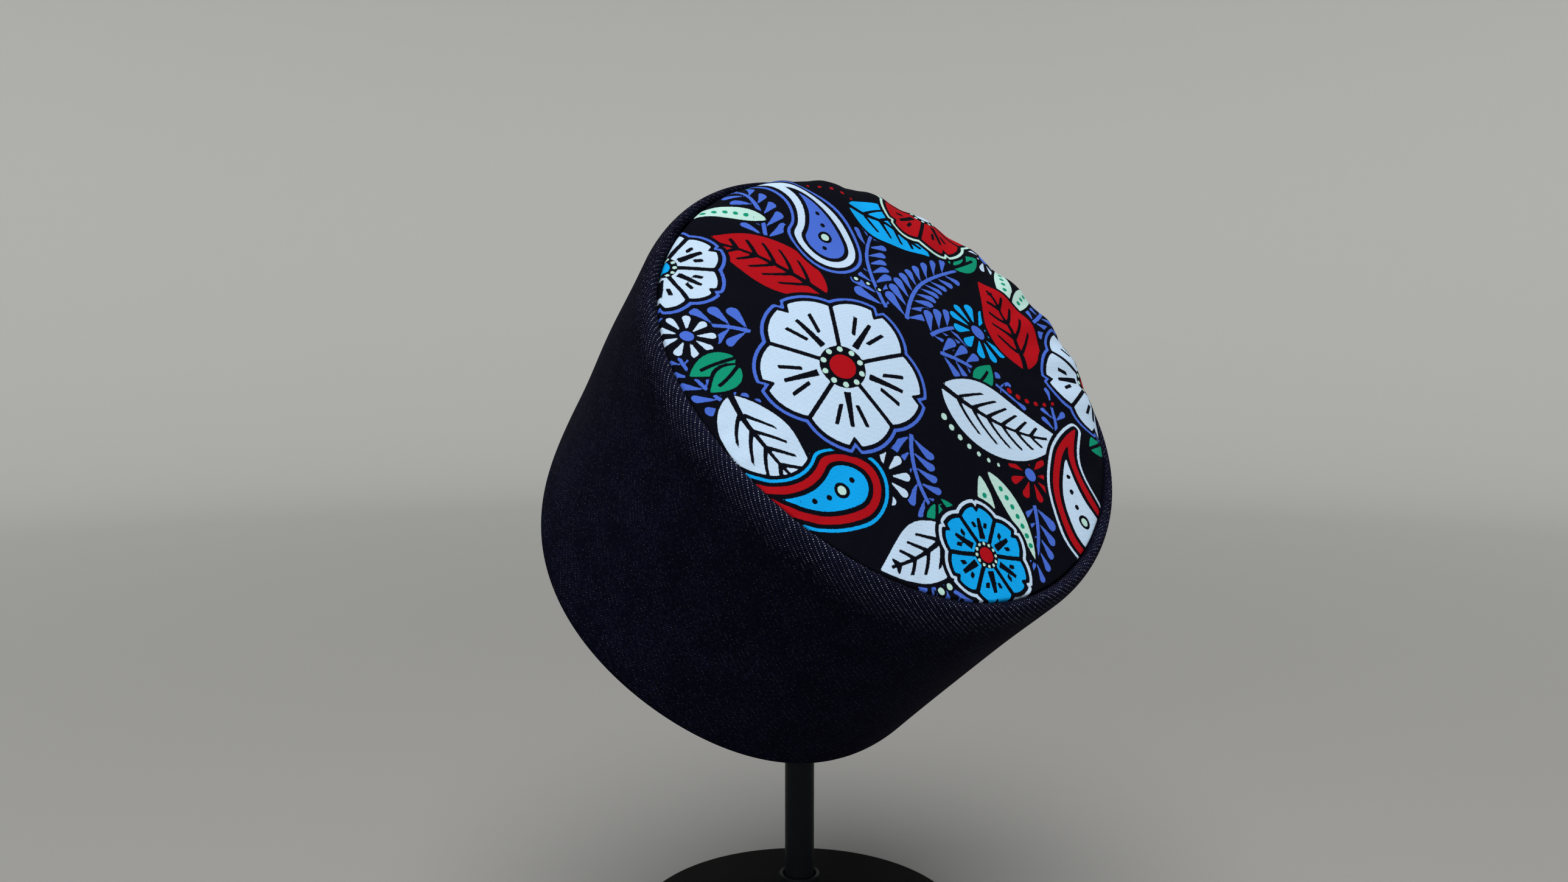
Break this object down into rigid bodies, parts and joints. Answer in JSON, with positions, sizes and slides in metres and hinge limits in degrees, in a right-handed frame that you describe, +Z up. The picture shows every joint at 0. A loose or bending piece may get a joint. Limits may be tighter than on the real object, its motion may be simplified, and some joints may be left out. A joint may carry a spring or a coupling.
{
  "type": "kufi cap on a display stand",
  "caption": "Round tall brimless cap with a denim side band and a printed domed crown, leaning on a plain black stand with a round base.",
  "frame": {"origin": "middle of the stand base's underside, on the surface it stands on", "axes": "+Z up along the stand's pole; the cap's crown faces -Y and up; X runs across the cap"},
  "size_m": [0.2024, 0.1737, 0.285],
  "materials": {
    "denim": "raw dark indigo twill with pale weft specks",
    "printed_cotton": "plain weave cotton, black ground with a bold coloured print",
    "black_metal": "satin black",
    "black_plastic": "matt black"
  },
  "bodies": {
    "root": {"side_band": "denim", "crown_panel": "printed_cotton", "stand_head": "black_plastic", "stand_pole": "black_metal", "stand_collar": "black_metal", "stand_base": "black_metal"}
  },
  "joints": []
}
